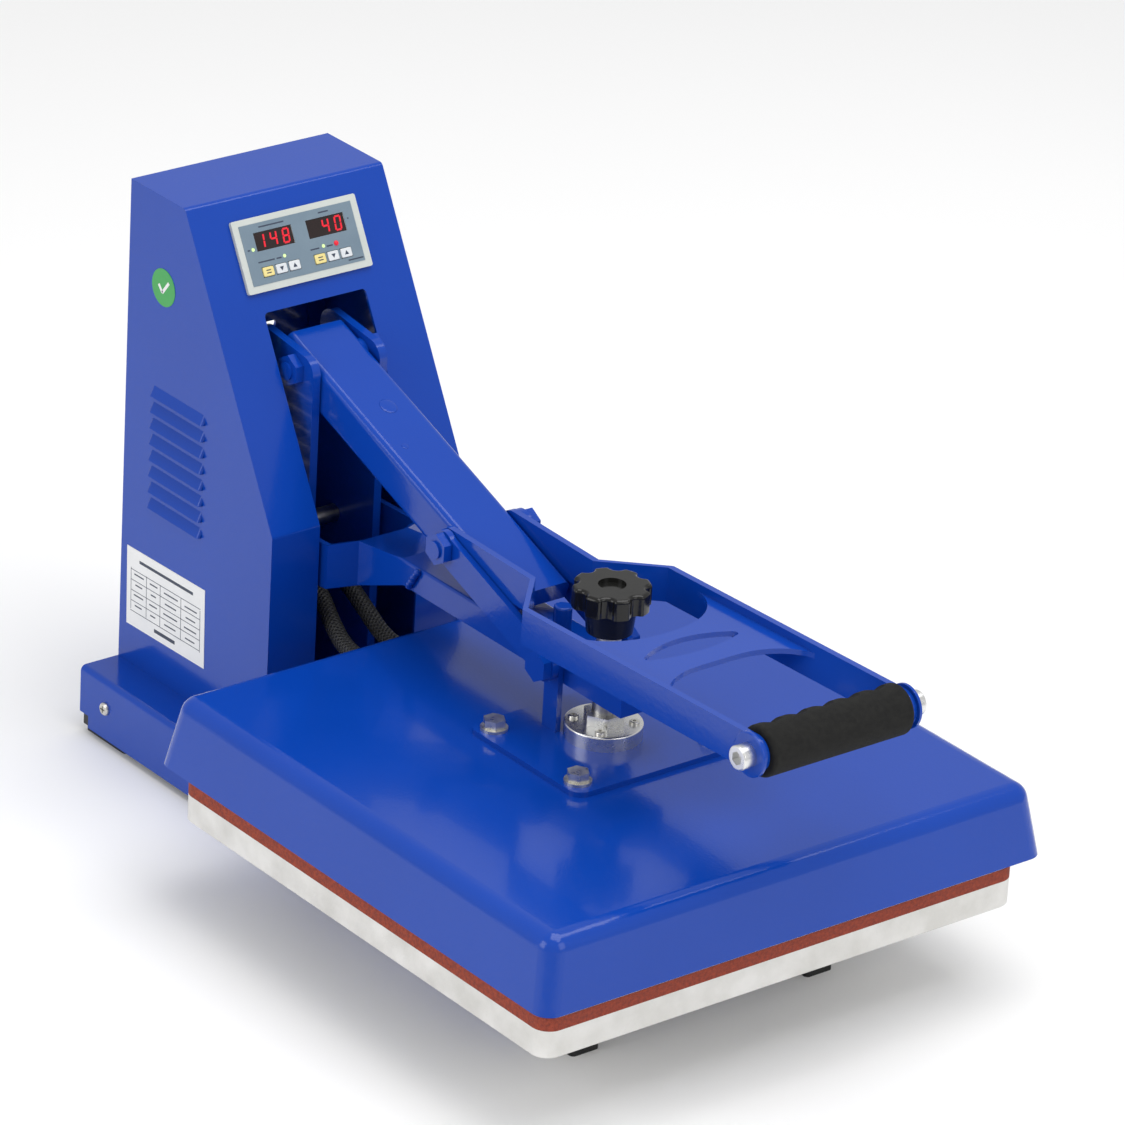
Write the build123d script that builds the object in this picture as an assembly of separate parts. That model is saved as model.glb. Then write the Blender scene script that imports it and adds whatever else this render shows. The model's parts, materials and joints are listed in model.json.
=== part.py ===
from build123d import *
import math
import os

# Clamshell heat press. Millimetres, +Z up, front of the machine along -Y, +X to the operator's right.
# Pieces are drawn round the centre of the lower platen, with the floor at Z = 0, and every piece is
# moved along Y at the end so that the origin is the middle of the footprint.

# ---- platens and pad ----
PLATEN = 380.0          # side of the square platens
PLATEN_CORNER = 12.0
PLATEN_T = 19.0         # lower platen thickness
PAD_T = 9.0             # silicone sponge
HEATER_T = 18.0         # heating platen thickness
CLOSED_GAP = 0.3        # pad to heating platen with the press closed

# ---- base ----
FOOT_H = 5.0
DECK_TOP = 48.0
DECK_HALF = 110.0
DECK_REAR = 420.0
DECK_FRONT = -90.0
SHEET = 2.0
RAIL_W = 26.0
RAIL_FRONT = -104.0
RAIL_WALL = 2.5
FOOT_FRONT = -116.4
FOOT_LENGTH = 46.0
CROSSBAR_T = 9.0
CROSSBAR_LENGTH = 300.0
CROSSBAR_W = 30.0
CROSSBAR_Y = (-60.0, 120.0)
PLATEN_BOLT_X = 130.0

# ---- tower ----
TOWER_HALF = 79.5
TOWER_TOP = 395.0
TOWER_TOP_FRONT = 359.0
KINK_Y = 251.0
KINK_Z = 202.0
BEND_R = 4.0
SLOT_HALF = 41.0
SLOT_BOTTOM = 60.0
SLOT_TOP = 327.0
FLANGE_W = 13.0
BACK_PANEL_INSET = 4.0
LOUVRE_COUNT = 8
LOUVRE_PITCH = 11.6
LOUVRE_LENGTH = 60.0
LOUVRE_Y = 359.0
LOUVRE_TOP_Z = 258.0
LOUVRE_DEPTH = 3.2

# ---- control panel, centred on the slanted front ----
PANEL_W = 100.0
PANEL_H = 49.0
PANEL_PROUD = 2.5
PANEL_DOWN = 40.0       # down the slant from the top edge to the panel's middle
PANEL_BOX_W = 88.0
PANEL_BOX_H = 38.0
DISPLAY_W = 30.4
DISPLAY_H = 12.4
DISPLAY_X = (-20.2, 21.8)
DISPLAY_UP = 8.1
BUTTON_W = 8.6
BUTTON_H = 6.2
BUTTON_UP = -12.2
BUTTON_PITCH = 10.5
BUTTON_PROUD = 0.9
BUTTON_GAP = 0.3
BUTTON_TRAVEL = 0.6
LED_R = 1.2
LEDS = ((-38.5, 3.8), (-15.9, -4.7), (15.6, -4.5), (25.9, -4.6))

# ---- pivots, in Y and Z ----
A_Y, A_Z = 300.0, 293.0         # lever on the uprights
PIVOT_DROP = 19.8               # slope of the straight toggle line A-B-C, degrees
LEVER_AB = 179.0
LINK_BC = 113.3
D_Y, D_Z = 322.0, 168.0         # heater arm on the uprights
PIN_R = 6.0
PIN_CLEAR = 0.05
SIDE_GAP = 0.3
BOLT_AF = 19.0
BOLT_HEAD = 6.2

# ---- uprights ----
UPRIGHT_IN = 24.0
UPRIGHT_T = 6.0
UPRIGHT_FRONT = 279.5
UPRIGHT_REAR = 346.0
UPRIGHT_TOP = 304.0
UPRIGHT_CORNER = 12.0
UPRIGHT_FOOT_W = 30.0
UPRIGHT_FOOT_T = 6.0

# ---- toggle lever ----
BEAM_HALF = 23.0
BEAM_ABOVE = 10.0
BEAM_BELOW = 20.0
BEAM_REAR = 23.0
BEAM_FRONT = 63.0
BEAM_WALL = 2.5
BEAM_CORNER = 5.0
BEAM_BUSH_R = 9.5                # the pivot's tube stays under the beam's top face
BEAM_TRIM_Z = 207.0
RAIL_T = 4.5                    # handle rails
RAIL_H = 24.0
RAIL_FLARE_HALF = 56.0
RAIL_FLARE_REAR = 48.0
RAIL_FLARE_FRONT = 13.0
GRIP_Y, GRIP_Z = -212.0, 240.5
GRIP_TUBE_R = 11.0
FOAM_R = 16.5
FOAM_HALF = 55.5
FINGER_R = 11.0                 # finger waves along the foam
FINGER_PITCH = 20.5
FINGER_DEPTH = 3.2
FINGER_ANGLE = 52.0
CROSS_T = 3.5
CROSS_REAR = -33.0
CROSS_FRONT = -132.0
CROSS_DISH = 23.0
CROSS_HORN = -16.0               # rear tip of the plate along each rail
EYE_HALF = 40.0                 # eye-shaped hole in the plate
EYE_Y = -81.0
EYE_REAR = 14.0
EYE_FRONT = 7.5

# ---- link plates ----
LINK_T = 4.5
LINK_R = 11.5
LINK_GAP = 0.5

# ---- heater arm ----
ARM_HALF = 20.0
ARM_TOP = 198.0
ARM_DEPTH = 18.0
ARM_WALL = 4.0
ARM_NOSE = -40.0
ARM_REAR = 236.0
LEG_IN = 34.5
LEG_T = 4.0
LEG_KNEE = 247.0
LEG_EYE_R = 18.0
STOP_Y = 47.0
STOP_TOP = 218.0

# ---- heater cover and mounting ----
COVER_X = 401.6
COVER_Y = 405.0
COVER_BOTTOM = 94.4
COVER_TOP = 143.0
COVER_CORNER = 12.0
COVER_DRAFT = 8.5               # how far each wall leans in from the bottom edge to the top
COVER_EDGE_R = 12.0
COVER_WALL = 1.5
BLANKET_T = 24.0
PLATE_X = 132.0
PLATE_Y = 114.0
PLATE_T = 3.5
MOUNT_BOLT = (54.0, 43.0)
FLANGE_R = 25.5
FLANGE_T = 10.0
SCREW_R = 8.0
SCREW_PITCH = 2.0
SLIDE = 6.0
KNOB_R = 25.5
KNOB_BOTTOM = 238.0
KNOB_H = 14.0
HUB_R = 15.0
HUB_BOTTOM = 220.0
GUIDE_T = 4.0

# ---- cables ----
CABLE_D = 12.0
CABLE_LEFT = [(-30, 212, 117), (-30, 232, 117), (-25, 256, 127), (-17, 280, 137), (-12, 306, 137),
              (-11, 331, 124), (-10, 351, 104), (-10, 361, 80)]
CABLE_RIGHT = [(2, 212, 117), (2, 232, 117), (3, 256, 129), (5, 282, 140), (8, 309, 139),
               (10, 334, 125), (10, 353, 104), (10, 361, 80)]
EARTH_D = 3.0

PLATEN_Z0 = DECK_TOP + CROSSBAR_T
PAD_Z0 = PLATEN_Z0 + PLATEN_T
HEATER_Z0 = PAD_Z0 + PAD_T + CLOSED_GAP
BLANKET_Z0 = HEATER_Z0 + HEATER_T
PLATE_TOP = COVER_TOP + PLATE_T
FLANGE_TOP = PLATE_TOP + FLANGE_T
RAIL_IN = BEAM_HALF
RAIL_OUT = RAIL_IN + RAIL_T
LINK_IN = RAIL_OUT + LINK_GAP
LINK_OUT = LINK_IN + LINK_T
SLOPE = math.radians(PIVOT_DROP)
B_Y = A_Y - LEVER_AB * math.cos(SLOPE)
B_Z = A_Z - LEVER_AB * math.sin(SLOPE)
C_Y = B_Y - LINK_BC * math.cos(SLOPE)
C_Z = B_Z - LINK_BC * math.sin(SLOPE)
BACK_Y = DECK_REAR - BACK_PANEL_INSET
FRONT_END = GRIP_Y - FOAM_R
SHIFT_Y = -(FRONT_END + DECK_REAR) / 2

SLANT = math.atan2(TOWER_TOP_FRONT - KINK_Y, TOWER_TOP - KINK_Z)
PANEL = Plane(
    origin=(0, TOWER_TOP_FRONT - PANEL_DOWN * math.sin(SLANT), TOWER_TOP - PANEL_DOWN * math.cos(SLANT)),
    x_dir=(1, 0, 0),
    z_dir=(0, -math.cos(SLANT), math.sin(SLANT)),
)
BEAM = Plane(
    origin=(0, A_Y, A_Z),
    x_dir=(0, -math.cos(SLOPE), -math.sin(SLOPE)),
    z_dir=(0, -math.sin(SLOPE), math.cos(SLOPE)),
)


def block(x0, x1, y0, y1, z0, z1):
    """A box given by its faces."""
    return Pos((x0 + x1) / 2, (y0 + y1) / 2, (z0 + z1) / 2) * Box(abs(x1 - x0), abs(y1 - y0), abs(z1 - z0))


def rod_x(radius, x0, x1, y, z):
    return Pos((x0 + x1) / 2, y, z) * Rot(0, 90, 0) * Cylinder(radius, abs(x1 - x0))


def rod_y(radius, y0, y1, x, z):
    return Pos(x, (y0 + y1) / 2, z) * Rot(90, 0, 0) * Cylinder(radius, abs(y1 - y0))


def rod_z(radius, z0, z1, x=0.0, y=0.0):
    return Pos(x, y, (z0 + z1) / 2) * Cylinder(radius, abs(z1 - z0))


def hex_z(across, z0, z1, x=0.0, y=0.0):
    return Pos(x, y, z0) * extrude(RegularPolygon(across / 2, 6, major_radius=False), z1 - z0)


def hex_x(across, x0, x1, y, z):
    prism = Rot(0, 90, 0) * extrude(RegularPolygon(across / 2, 6, major_radius=False), abs(x1 - x0))
    return Pos(min(x0, x1), y, z) * prism


def side_plate(outline, x0, x1):
    """A plate whose outline lies in the Y-Z plane, from x0 to x1."""
    face = make_face(Polyline(*outline, close=True))
    return extrude(Plane.YZ.offset(min(x0, x1)) * face, abs(x1 - x0))


def slab(size_x, size_y, z0, z1, corner):
    return Pos(0, 0, z0) * extrude(RectangleRounded(size_x, size_y, corner), z1 - z0)


def both(piece):
    """The piece and its mirror image across the machine's middle plane."""
    return [piece, mirror(piece, about=Plane.YZ)]


def group(pieces):
    """Separate solids that share one node."""
    return Compound([solid for piece in pieces for solid in piece.solids()])


def along_x(piece, low, high):
    """Edges parallel to X whose middle lies between two heights."""
    return piece.edges().filter_by(Axis.X).filter_by(lambda e: low < e.center().Z < high)


# ---- base ----
def base_deck():
    tray = block(-DECK_HALF, DECK_HALF, DECK_FRONT, DECK_REAR, FOOT_H, DECK_TOP)
    tray = fillet(tray.edges().filter_by(Axis.Y).sort_by(Axis.Z)[-2:], BEND_R)
    inner = DECK_HALF - SHEET
    tray -= block(-inner, inner, DECK_FRONT - 1, DECK_REAR - SHEET, FOOT_H - 1, DECK_TOP - SHEET)
    tray -= block(-DECK_HALF - 1, -DECK_HALF + 40, DECK_REAR - 10, DECK_REAR + 1, FOOT_H - 1, FOOT_H + 9)
    for x, y in bar_screws():
        tray -= rod_z(3 + PIN_CLEAR, DECK_TOP - 5, DECK_TOP + 1, x, y)
    for x, y in foot_bolts():
        tray -= rod_z(4 + PIN_CLEAR, DECK_TOP - 5, DECK_TOP + 1, x, y)
    for y, z in side_screws():
        tray -= rod_x(2.5 + PIN_CLEAR, -DECK_HALF - 1, DECK_HALF + 1, y, z)
    return tray


def bar_screws():
    return [(x, y) for x in (-60.0, 60.0) for y in CROSSBAR_Y]


def foot_bolts():
    x = UPRIGHT_IN + UPRIGHT_FOOT_W / 2 + UPRIGHT_T
    return [(side * x, y) for side in (-1, 1) for y in (UPRIGHT_FRONT + 16, UPRIGHT_REAR - 16)]


def side_screws():
    return [(390.0, 28.0), (210.0, 28.0)]


def base_rail(side):
    outer = DECK_HALF - SHEET
    rail = block(outer - RAIL_W, outer, RAIL_FRONT, DECK_REAR - SHEET, FOOT_H, DECK_TOP - SHEET)
    low = FOOT_H + RAIL_WALL
    high = DECK_TOP - SHEET - RAIL_WALL
    bore = block(outer - RAIL_W + RAIL_WALL, outer - RAIL_WALL, RAIL_FRONT - 1, DECK_REAR, low, high)
    rail -= bore
    for y, z in side_screws():
        rail -= rod_x(2.5 + PIN_CLEAR, outer - RAIL_WALL - 1, outer + 1, y, z)
    return rail if side > 0 else mirror(rail, about=Plane.YZ)


def base_rails():
    return group([base_rail(-1), base_rail(1)])


def foot_pads():
    outer = DECK_HALF - SHEET - 2
    pads = []
    for y0 in (FOOT_FRONT, DECK_REAR - SHEET - FOOT_LENGTH):
        pad = block(outer - RAIL_W + 4, outer, y0, y0 + FOOT_LENGTH, 0, FOOT_H)
        pads += both(fillet(pad.edges().filter_by(Axis.Z), 3))
    return group(pads)


def base_screws():
    screws = []
    for y, z in side_screws():
        head = rod_x(4.6, DECK_HALF, DECK_HALF + 2.6, y, z)
        head = fillet(head.edges().sort_by(Axis.X)[-1], 1.8)
        head -= block(DECK_HALF + 1.2, DECK_HALF + 3, y - 0.5, y + 0.5, z - 2.6, z + 2.6)
        head -= block(DECK_HALF + 1.2, DECK_HALF + 3, y - 2.6, y + 2.6, z - 0.5, z + 0.5)
        screws += both(head + rod_x(2.5, DECK_HALF - SHEET - RAIL_WALL - 3, DECK_HALF, y, z))
    return group(screws)


def platen_crossbars():
    bars = []
    for y in CROSSBAR_Y:
        half = CROSSBAR_LENGTH / 2
        bar = block(-half, half, y - CROSSBAR_W / 2, y + CROSSBAR_W / 2, DECK_TOP, PLATEN_Z0)
        bar = fillet(bar.edges().filter_by(Axis.Z), 4)
        for side in (-1, 1):
            bar -= rod_z(4 + PIN_CLEAR, DECK_TOP - 1, PLATEN_Z0 + 1, side * PLATEN_BOLT_X, y)
        bars.append(bar)
    for x, y in bar_screws():
        hole = rod_z(3 + PIN_CLEAR, DECK_TOP - 1, PLATEN_Z0 + 1, x, y)
        sink = Pos(x, y, PLATEN_Z0 - 1.5) * Cone(3, 6.1, 3.1)
        bars = [bar - hole - sink for bar in bars]
    return group(bars)


def base_bolts():
    """The bolts of the platen and of the uprights' feet, and the countersunk screws of the crossbars."""
    bolts = upright_bolts()
    for y in CROSSBAR_Y:
        for side in (-1, 1):
            x = side * PLATEN_BOLT_X
            bolts.append(hex_z(13, DECK_TOP - 5.3, DECK_TOP, x, y) + rod_z(4, DECK_TOP - 1, PLATEN_Z0 + 13, x, y))
    for x, y in bar_screws():
        head = Pos(x, y, PLATEN_Z0 - 1.6) * Cone(3, 5.8, 2.8)
        bolts.append(head + rod_z(3, DECK_TOP - SHEET - 8, PLATEN_Z0 - 2.5, x, y))
    return group(bolts)


def lower_platen():
    platen = slab(PLATEN, PLATEN, PLATEN_Z0, PAD_Z0, PLATEN_CORNER)
    platen = chamfer(platen.faces().sort_by(Axis.Z)[0].edges(), 1.0)
    for y in CROSSBAR_Y:
        for side in (-1, 1):
            platen -= rod_z(4 + PIN_CLEAR, PLATEN_Z0 - 1, PLATEN_Z0 + 14, side * PLATEN_BOLT_X, y)
    return platen


def silicone_pad():
    return slab(PLATEN, PLATEN, PAD_Z0, PAD_Z0 + PAD_T, PLATEN_CORNER)


# ---- tower ----
def tower_profile(inset):
    """The side view of the tower, drawn inward by the sheet's thickness."""
    run = math.tan((math.pi / 2 - SLANT) / 2)
    top = TOWER_TOP - inset
    top_front = TOWER_TOP_FRONT + inset * run
    kink_z = KINK_Z - inset * math.tan(SLANT / 2)
    front = KINK_Y + inset
    return [(front, DECK_TOP), (front, kink_z), (top_front, top), (DECK_REAR, top), (DECK_REAR, DECK_TOP)]


def louvre(z):
    """One pressed hood on the right-hand wall, open below."""
    wall = TOWER_HALF
    outer = [(wall - SHEET, z + 1.5), (wall, z + 1.5), (wall + LOUVRE_DEPTH, z - 5.5), (wall - SHEET, z - 5.5)]
    hood = extrude(Plane.XZ * make_face(Polyline(*outer, close=True)), LOUVRE_LENGTH / 2, both=True)
    hood = Pos(0, LOUVRE_Y, 0) * hood
    rims = hood.edges().filter_by(lambda e: e.center().X > wall + LOUVRE_DEPTH / 3 and abs(e.center().Y - LOUVRE_Y) > 9)
    return fillet(rims, 2.0)


def louvre_void(z):
    wall = TOWER_HALF
    inner = [(wall - SHEET - 1, z), (wall - 1, z), (wall + LOUVRE_DEPTH - 1.4, z - 6), (wall - SHEET - 1, z - 6)]
    void = extrude(Plane.XZ * make_face(Polyline(*inner, close=True)), LOUVRE_LENGTH / 2 - 1.5, both=True)
    return Pos(0, LOUVRE_Y, 0) * void


def panel_screen():
    """The opening in the slanted front that the panel's housing passes through."""
    return PANEL.location * Box(PANEL_BOX_W + 1, PANEL_BOX_H + 1, 14)


def tower_shell():
    shell = side_plate(tower_profile(0), -TOWER_HALF, TOWER_HALF)
    shell = fillet(along_x(shell, KINK_Z - 1, TOWER_TOP + 1).filter_by(lambda e: e.center().Y < DECK_REAR - 5), BEND_R)
    inner = TOWER_HALF - SHEET
    shell -= side_plate([(y + (1 if y > 400 else 0), z - (1 if z < 60 else 0)) for y, z in tower_profile(SHEET)],
                        -inner, inner)
    slot = block(-SLOT_HALF, SLOT_HALF, KINK_Y - 10, A_Y + 60, SLOT_BOTTOM, SLOT_TOP)
    shell -= fillet(slot.edges().filter_by(Axis.Y), 3)
    shell -= panel_screen()
    for row in range(LOUVRE_COUNT):
        z = LOUVRE_TOP_Z - row * LOUVRE_PITCH
        for hood in both(louvre(z)):
            shell += hood
        for void in both(louvre_void(z)):
            shell -= void
    flange = block(inner - FLANGE_W, inner, BACK_Y - 2 * SHEET, BACK_Y - SHEET, DECK_TOP + 4, TOWER_TOP - 8)
    for side in both(flange):
        shell += side
    for x, z in back_screws():
        shell -= rod_y(2 + PIN_CLEAR, BACK_Y - 6, BACK_Y + 1, x, z)
    return shell


def back_screws():
    x = TOWER_HALF - SHEET - FLANGE_W / 2
    return [(side * x, z) for side in (-1, 1) for z in (75.0, 220.0, 370.0)]


def tower_back_panel():
    half = TOWER_HALF - SHEET - 0.3
    panel = block(-half, half, BACK_Y - SHEET, BACK_Y, DECK_TOP + 1, TOWER_TOP - SHEET - 1)
    for row in range(9):
        z = 230.0 + row * 12
        cut = block(-38, 38, BACK_Y - 5, BACK_Y + 1, z, z + 5)
        panel -= fillet(cut.edges().filter_by(Axis.Y), 2.4)
    panel -= block(-52, -22, BACK_Y - 5, BACK_Y + 1, 84, 108)
    panel -= block(18 - 0.2, 48 + 0.2, BACK_Y - 5, BACK_Y + 1, 85 - 0.2, 107 + 0.2)
    panel -= rod_y(7, BACK_Y - 5, BACK_Y + 1, -37, 140)
    for x, z in back_screws():
        panel -= rod_y(2 + PIN_CLEAR, BACK_Y - 6, BACK_Y + 1, x, z)
    return panel


def back_panel_screws():
    screws = []
    for x, z in back_screws():
        head = rod_y(3.8, BACK_Y, BACK_Y + 2.2, x, z)
        head -= block(x - 2.2, x + 2.2, BACK_Y + 1.2, BACK_Y + 3, z - 0.45, z + 0.45)
        head -= block(x - 0.45, x + 0.45, BACK_Y + 1.2, BACK_Y + 3, z - 2.2, z + 2.2)
        screws.append(head + rod_y(2, BACK_Y - 8, BACK_Y, x, z))
    return group(screws)


# ---- uprights and their pivots ----
def upright(side):
    rise = 0.12 * (UPRIGHT_REAR - UPRIGHT_FRONT)
    outline = [(UPRIGHT_FRONT, DECK_TOP), (UPRIGHT_FRONT, UPRIGHT_TOP),
               (UPRIGHT_REAR, UPRIGHT_TOP + rise), (UPRIGHT_REAR, DECK_TOP)]
    outer = UPRIGHT_IN + UPRIGHT_T
    plate = side_plate(outline, UPRIGHT_IN, outer)
    corners = plate.edges().filter_by(Axis.X).filter_by(lambda e: e.center().Z > UPRIGHT_TOP - 1)
    plate = fillet(corners, UPRIGHT_CORNER)
    plate += block(outer, outer + UPRIGHT_FOOT_W, UPRIGHT_FRONT, UPRIGHT_REAR, DECK_TOP, DECK_TOP + UPRIGHT_FOOT_T)
    for y, z in ((A_Y, A_Z), (D_Y, D_Z)):
        plate -= rod_x(PIN_R + PIN_CLEAR, UPRIGHT_IN - 1, outer + 1, y, z)
    for x, y in foot_bolts():
        plate -= rod_z(4 + PIN_CLEAR, DECK_TOP - 1, DECK_TOP + 9, abs(x), y)
    return plate if side > 0 else mirror(plate, about=Plane.YZ)


def upright_bolts():
    top = DECK_TOP + UPRIGHT_FOOT_T
    bolts = []
    for x, y in foot_bolts():
        bolts.append(hex_z(13, top, top + 5.3, x, y) + rod_z(4, DECK_TOP - SHEET - 8, top + 1, x, y))
    return bolts


def cross_bolt(face, y, z):
    """A bolt along X with a hex head and a hex nut that stand against two outer faces."""
    bolt = rod_x(PIN_R, -face - BOLT_HEAD - 1.5, face + 1, y, z)
    bolt += hex_x(BOLT_AF, face, face + BOLT_HEAD, y, z)
    bolt += hex_x(BOLT_AF, -face - BOLT_HEAD, -face, y, z)
    return bolt


def beam_pivot_bolt():
    return cross_bolt(UPRIGHT_IN + UPRIGHT_T, A_Y, A_Z)


def arm_pivot_bolt():
    return cross_bolt(LEG_IN + LEG_T + SIDE_GAP + 0.7, D_Y, D_Z)


def toggle_pivot_bolt():
    return cross_bolt(LINK_OUT + SIDE_GAP, B_Y, B_Z)


# ---- control panel ----
def on_panel(piece):
    return PANEL.location * piece


def button_places():
    names = ("set", "down", "up")
    places = []
    for screen, start in (("temperature", -31.1), ("time", 10.7)):
        for step, name in enumerate(names):
            places.append((f"{screen}_{name}_button", start + step * BUTTON_PITCH))
    return places


def control_panel():
    face = Pos(0, 0, PANEL_PROUD / 2) * Box(PANEL_W, PANEL_H, PANEL_PROUD)
    face = fillet(face.edges().filter_by(Axis.Z), 1.5)
    tub = Pos(0, 0, -8) * Box(PANEL_BOX_W, PANEL_BOX_H, 16)
    tub -= Pos(0, 0, -9) * Box(PANEL_BOX_W - 3, PANEL_BOX_H - 3, 16)
    panel = face + tub
    for x in DISPLAY_X:
        panel -= Pos(x, DISPLAY_UP, 0) * Box(DISPLAY_W, DISPLAY_H, 9)
    for _, x in button_places():
        panel -= Pos(x, BUTTON_UP, 0) * Box(BUTTON_W + 2 * BUTTON_GAP, BUTTON_H + 2 * BUTTON_GAP, 9)
    for x, up in LEDS:
        panel -= Pos(x, up, 0) * Cylinder(LED_R + PIN_CLEAR, 9)
    return on_panel(panel)


def display_windows():
    depth = PANEL_PROUD - 0.5
    panes = [Pos(x, DISPLAY_UP, depth / 2 - 1) * Box(DISPLAY_W, DISPLAY_H, depth + 2) for x in DISPLAY_X]
    return group([on_panel(pane) for pane in panes])


def indicator_leds():
    leds = []
    for x, up in LEDS:
        body = Pos(x, up, -4.4) * Cylinder(LED_R, 14.6)
        leds.append(on_panel(body))
    return group(leds)


def button(x):
    """A key cap on the panel, with a stem towards the board's switch."""
    cap = Pos(x, BUTTON_UP, PANEL_PROUD + BUTTON_PROUD - 2) * Box(BUTTON_W, BUTTON_H, 4)
    cap = fillet(cap.edges().filter_by(Axis.Z), 1.0)
    cap = fillet(cap.faces().sort_by(Axis.Z)[-1].edges(), 0.5)
    stem_top = PANEL_PROUD + BUTTON_PROUD - 4
    stem_end = -11.7 + BUTTON_TRAVEL + 0.3
    stem = Pos(x, BUTTON_UP, (stem_top + stem_end) / 2) * Box(3, 3, stem_top - stem_end)
    return on_panel(cap + stem)


def controller_board():
    board = Pos(0, 0, -12.5) * Box(PANEL_BOX_W - 3.2, PANEL_BOX_H - 3.2, 1.6)
    for x in DISPLAY_X:
        board += Pos(x, DISPLAY_UP, -6.85) * Box(DISPLAY_W - 1, DISPLAY_H - 1, 9.7)
    connector = Pos(-36, -14, -16.3) * Box(8, 6, 6) + Pos(-36, -17, -18.6) * Box(8, 10, 4.4)
    return on_panel(board + connector)


# ---- electrics at the back ----
def power_relay():
    body = block(-23, 23, 352, 402, DECK_TOP, DECK_TOP + 30)
    body = fillet(body.edges().filter_by(Axis.Z), 3)
    for side in (-1, 1):
        body += rod_z(7.5, DECK_TOP + 29, 80, side * 10, 361)
    return body


def power_inlet():
    flange = block(-58, -16, BACK_Y, BACK_Y + 3, 82, 110)
    flange = fillet(flange.edges().filter_by(Axis.Y), 4)
    body = block(-51.8, -22.2, BACK_Y - 24, BACK_Y, 84.2, 107.8)
    inlet = flange + body - block(-49, -25, BACK_Y - 18, BACK_Y + 4, 87.5, 104.5)
    for x, z in ((-44, 95.5), (-30, 95.5), (-37, 100)):
        inlet += block(x - 1, x + 1, BACK_Y - 19, BACK_Y - 3, z - 2, z + 2)
    return inlet


def switch_frame():
    """The frame that the rocker turns in, round its opening in the back panel."""
    frame = block(14, 52, BACK_Y, BACK_Y + 2.5, 82, 110)
    frame = fillet(frame.edges().filter_by(Axis.Y), 2)
    frame += block(18, 48, BACK_Y - 20, BACK_Y, 85, 107)
    frame -= block(20, 46, BACK_Y - 16, BACK_Y + 4, 87, 105)
    return frame


def power_switch():
    """A rocker that turns on an axis along X."""
    outline = [(BACK_Y - 6, 88.2), (BACK_Y + 2.6, 88.6), (BACK_Y + 0.6, 96), (BACK_Y + 2.2, 103.4), (BACK_Y - 6, 103.8)]
    return side_plate(outline, 20.4, 45.6) + rod_x(3.5, 20.4, 45.6, BACK_Y - 4, 96)


def fuse_holder():
    cap = rod_y(9, BACK_Y, BACK_Y + 3.5, -37, 140)
    cap -= block(-43, -31, BACK_Y + 2, BACK_Y + 5, 139.2, 140.8)
    return cap + rod_y(6.9, BACK_Y - 30, BACK_Y, -37, 140)


def rounded_path(points):
    """Straight runs joined by tangent arcs, each as large as its two runs allow."""
    places = [Vector(*p) for p in points]
    radii = []
    for before, here, after in zip(places, places[1:], places[2:]):
        turn = (here - before).get_angle(after - here)
        run = min((here - before).length, (after - here).length)
        radii.append(0.45 * run / math.tan(math.radians(turn) / 2))
    print("cable radii", [round(r, 1) for r in radii])
    return FilletPolyline(*places, radius=radii)


def cable(points, diameter):
    path = rounded_path(points)
    section = Plane(origin=path @ 0, z_dir=path % 0) * Circle(diameter / 2)
    tube = sweep(section, path)
    print("cable volume over section x length",
          round(tube.volume / (math.pi * diameter ** 2 / 4 * path.length), 4), "length", round(path.length, 1))
    return tube


def heater_cables():
    return group([cable(CABLE_LEFT, CABLE_D), cable(CABLE_RIGHT, CABLE_D)])


def earth_wire():
    """The wire leaves the board's connector straight down the slant and ends on the left upright."""
    start = (PANEL.location * Pos(-36, -22, -18.6)).position
    lead = Vector(0, -10 * math.sin(SLANT), -10 * math.cos(SLANT))
    steps = [(0, 0, 0), lead, (-0.8, -13, -19), (-0.5, -19, -31), (1.5, -18, -43), (4.3, -11, -52)]
    return cable([start + Vector(*step) for step in steps], EARTH_D)


# ---- toggle lever ----
def toggle_beam():
    length = LEVER_AB + BEAM_FRONT

    def bar(inset, trim):
        size_z = BEAM_ABOVE + BEAM_BELOW - 2 * inset
        rear = 0 if inset == 0 else -5
        whole = Box(length + BEAM_REAR - inset - rear, 2 * (BEAM_HALF - inset), size_z)
        whole = fillet(whole.edges().filter_by(Axis.X), BEAM_CORNER - inset)
        middle = (length - inset + rear - BEAM_REAR) / 2
        whole = BEAM.location * Pos(middle, 0, (BEAM_ABOVE - BEAM_BELOW) / 2) * whole
        return whole - block(-60, 60, 0, B_Y - 4, 120, trim)

    beam = bar(0, BEAM_TRIM_Z) - bar(BEAM_WALL, BEAM_TRIM_Z + BEAM_WALL)
    bush = rod_x(BEAM_BUSH_R, -UPRIGHT_IN + SIDE_GAP, UPRIGHT_IN - SIDE_GAP, A_Y, A_Z)
    beam += bush
    beam -= rod_x(PIN_R + PIN_CLEAR, -UPRIGHT_IN, UPRIGHT_IN, A_Y, A_Z)
    beam -= rod_x(PIN_R + PIN_CLEAR, -UPRIGHT_IN, UPRIGHT_IN, B_Y, B_Z)
    return beam


def rail_edge(y):
    """Height of the handle rail's middle line at a distance along the machine."""
    if y > RAIL_FLARE_REAR:
        share = (B_Y - y) / (B_Y - RAIL_FLARE_REAR)
        return B_Z - 1.5 * share
    share = (RAIL_FLARE_REAR - y) / (RAIL_FLARE_REAR - GRIP_Y)
    return B_Z - 1.5 + (GRIP_Z - B_Z + 1.5) * share


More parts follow.
